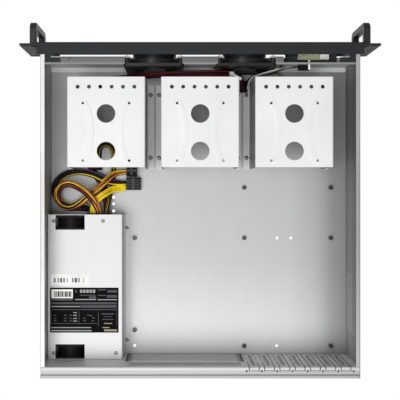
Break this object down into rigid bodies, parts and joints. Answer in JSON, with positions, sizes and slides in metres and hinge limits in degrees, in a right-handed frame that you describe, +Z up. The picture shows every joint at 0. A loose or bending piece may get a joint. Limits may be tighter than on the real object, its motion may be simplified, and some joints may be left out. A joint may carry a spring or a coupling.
{
  "type": "rackmount server case",
  "caption": "Open 2U rackmount server case with drive cages, fans, power supply and loose wiring, lid off.",
  "frame": {"origin": "middle of the footprint, handles included, on the underside", "axes": "+X across, to the right seen from the front, +Y from the front panel to the rear, +Z up"},
  "size_m": [0.4826, 0.476, 0.088],
  "materials": {
    "zinc_steel": "satin zinc coat",
    "cage_steel": "pale satin coat",
    "black_paint": "fine matt powder coat",
    "handle_metal": "satin coat",
    "supply_steel": "bright zinc coat",
    "screw_steel": "bright",
    "dark_screw": "black oxide",
    "fan_black": "gloss",
    "black_plastic": "fine texture",
    "white_plastic": "smooth",
    "clear_lens": "clear",
    "board": "lacquer",
    "bare_aluminium": "bare",
    "winding": "tape",
    "sleeve": "shrink sleeve",
    "nickel": "plated",
    "wire_mixed": "wire insulation",
    "wire_black": "wire insulation",
    "wire_yellow": "wire insulation"
  },
  "bodies": {
    "casing": {"aperture_blank": "zinc_steel", "board_cable": "wire_mixed", "board_connector": "black_plastic", "board_standoffs": "screw_steel", "bracket_screws": "screw_steel", "cable_bushing": "black_plastic", "cable_tie": "white_plastic", "cage_screws": "screw_steel", "chassis_tray": "zinc_steel", "control_board": "board", "control_bracket": "zinc_steel", "drive_cable": "wire_yellow", "drive_cage_centre": "cage_steel", "drive_cage_left": "cage_steel", "drive_cage_right": "cage_steel", "drive_plug": "black_plastic", "ear_bracket_left": "black_paint", "ear_bracket_right": "black_paint", "fan_frame_left": "fan_black", "fan_frame_right": "fan_black", "fan_lead_left": "wire_black", "fan_lead_right": "wire_black", "fan_plugs": "white_plastic", "fan_screws": "screw_steel", "fan_supply_cable": "wire_mixed", "fan_supply_plug": "black_plastic", "front_bulkhead": "zinc_steel", "front_panel": "black_paint", "handle_left": "handle_metal", "handle_right": "handle_metal", "handle_screws": "dark_screw", "header_plugs": "black_plastic", "header_socket": "white_plastic", "mains_inlet": "black_plastic", "panel_lead": "white_plastic", "panel_plug": "black_plastic", "processor_cable": "wire_black", "processor_connector": "black_plastic", "push_switches": "black_plastic", "rear_panel": "zinc_steel", "status_lights": "clear_lens", "supply_base": "supply_steel", "supply_board": "board", "supply_bracket": "zinc_steel", "supply_capacitors": "sleeve", "supply_cover": "supply_steel", "supply_fan_frame_front": "black_plastic", "supply_fan_frame_rear": "black_plastic", "supply_heat_sinks": "bare_aluminium", "supply_screws": "screw_steel", "supply_transformer": "winding", "usb_lead": "wire_black", "usb_sockets": "nickel", "yellow_cable": "wire_yellow"},
    "fan_rotor_left": {"fan_rotor_left": "fan_black"},
    "fan_rotor_right": {"fan_rotor_right": "fan_black"},
    "supply_fan_rotor_front": {"supply_fan_rotor_front": "black_plastic"},
    "supply_fan_rotor_rear": {"supply_fan_rotor_rear": "black_plastic"},
    "power_button": {"power_button": "black_plastic"},
    "reset_button": {"reset_button": "black_plastic"}
  },
  "joints": [
    {"name": "fan_spin_left", "type": "hinge", "parent": "casing", "child": "fan_rotor_left", "pos_m": [-0.062, -0.1945, 0.044], "axis": [0, 1, 0], "continuous": true},
    {"name": "fan_spin_right", "type": "hinge", "parent": "casing", "child": "fan_rotor_right", "pos_m": [0.062, -0.1945, 0.044], "axis": [0, 1, 0], "continuous": true},
    {"name": "supply_fan_spin_front", "type": "hinge", "parent": "casing", "child": "supply_fan_rotor_front", "pos_m": [0.1795, 0.0305, 0.0218], "axis": [0, 1, 0], "continuous": true},
    {"name": "supply_fan_spin_rear", "type": "hinge", "parent": "casing", "child": "supply_fan_rotor_rear", "pos_m": [0.1795, 0.2105, 0.0218], "axis": [0, 1, 0], "continuous": true},
    {"name": "power_button_press", "type": "slide", "parent": "casing", "child": "power_button", "axis": [0, 1, 0], "range_m": [0, 0.0015], "stiffness_N_per_m": 400, "springref_m": -0.0015},
    {"name": "reset_button_press", "type": "slide", "parent": "casing", "child": "reset_button", "axis": [0, 1, 0], "range_m": [0, 0.001], "stiffness_N_per_m": 400, "springref_m": -0.001}
  ]
}
